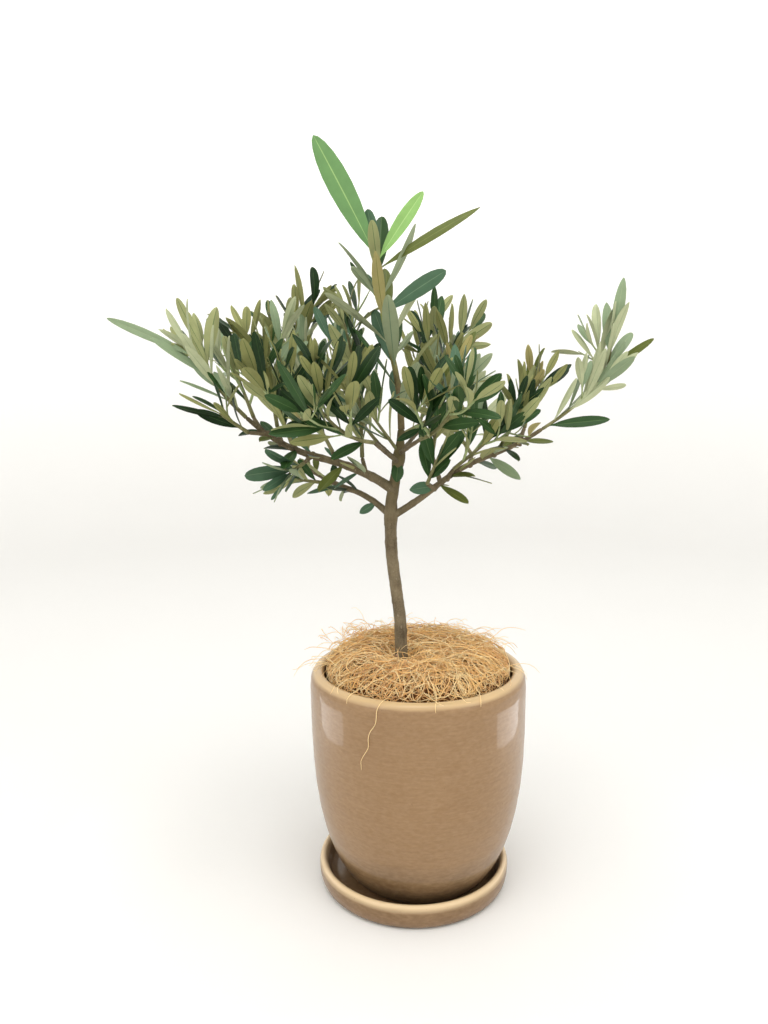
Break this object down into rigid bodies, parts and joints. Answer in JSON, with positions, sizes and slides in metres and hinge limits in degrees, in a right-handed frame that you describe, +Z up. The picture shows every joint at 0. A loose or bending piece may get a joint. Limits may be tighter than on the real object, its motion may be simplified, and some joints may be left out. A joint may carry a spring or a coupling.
{
  "type": "potted olive tree",
  "caption": "Young olive tree with a bare trunk and a wide open crown of narrow grey-green leaves, in a glazed egg-shaped pot on a saucer, with coir over the soil.",
  "frame": {"origin": "centre of the saucer's flat underside, on the surface it stands on", "axes": "+Z up along the trunk, +X towards the long right-hand bough, +Y away from the side that shows the crown at its widest"},
  "size_m": [0.2778, 0.2187, 0.4139],
  "materials": {
    "glaze": "glossy taupe-brown ceramic glaze, lighter where it thins over the lip",
    "soil": "matt dark potting soil",
    "coir": "loose golden-tan coir fibre",
    "bark": "matt grey-brown bark",
    "foliage": "leathery leaves, dark grey-green above and pale silvery olive beneath"
  },
  "bodies": {
    "root": {"saucer": "glaze", "pot": "glaze", "potting_soil": "soil", "coir_mulch": "coir", "trunk": "bark", "bough_back_left": "bark", "bough_back_right": "bark", "bough_front_left": "bark", "bough_front_right": "bark", "bough_left_high": "bark", "bough_left_low": "bark", "bough_right": "bark", "branch_left_back": "bark", "branch_left_inner": "bark", "branch_left_low": "bark", "branch_left_mid": "bark", "branch_left_near": "bark", "branch_left_outer": "bark", "branch_left_side": "bark", "branch_left_under": "bark", "branch_right_back": "bark", "branch_right_inner": "bark", "branch_right_low": "bark", "branch_right_mid": "bark", "branch_right_near": "bark", "branch_right_under": "bark", "foliage_back_left": "foliage", "foliage_back_right": "foliage", "foliage_centre_left": "foliage", "foliage_centre_right": "foliage", "foliage_front_left": "foliage", "foliage_front_right": "foliage", "foliage_leader": "foliage", "foliage_leader_left": "foliage", "foliage_leader_right": "foliage", "foliage_left_back": "foliage", "foliage_left_low": "foliage", "foliage_left_mid": "foliage", "foliage_left_near": "foliage", "foliage_left_outer": "foliage", "foliage_left_rise": "foliage", "foliage_left_side": "foliage", "foliage_left_tip": "foliage", "foliage_left_under": "foliage", "foliage_right_back": "foliage", "foliage_right_low": "foliage", "foliage_right_mid": "foliage", "foliage_right_near": "foliage", "foliage_right_tip": "foliage", "foliage_right_under": "foliage"}
  },
  "joints": []
}
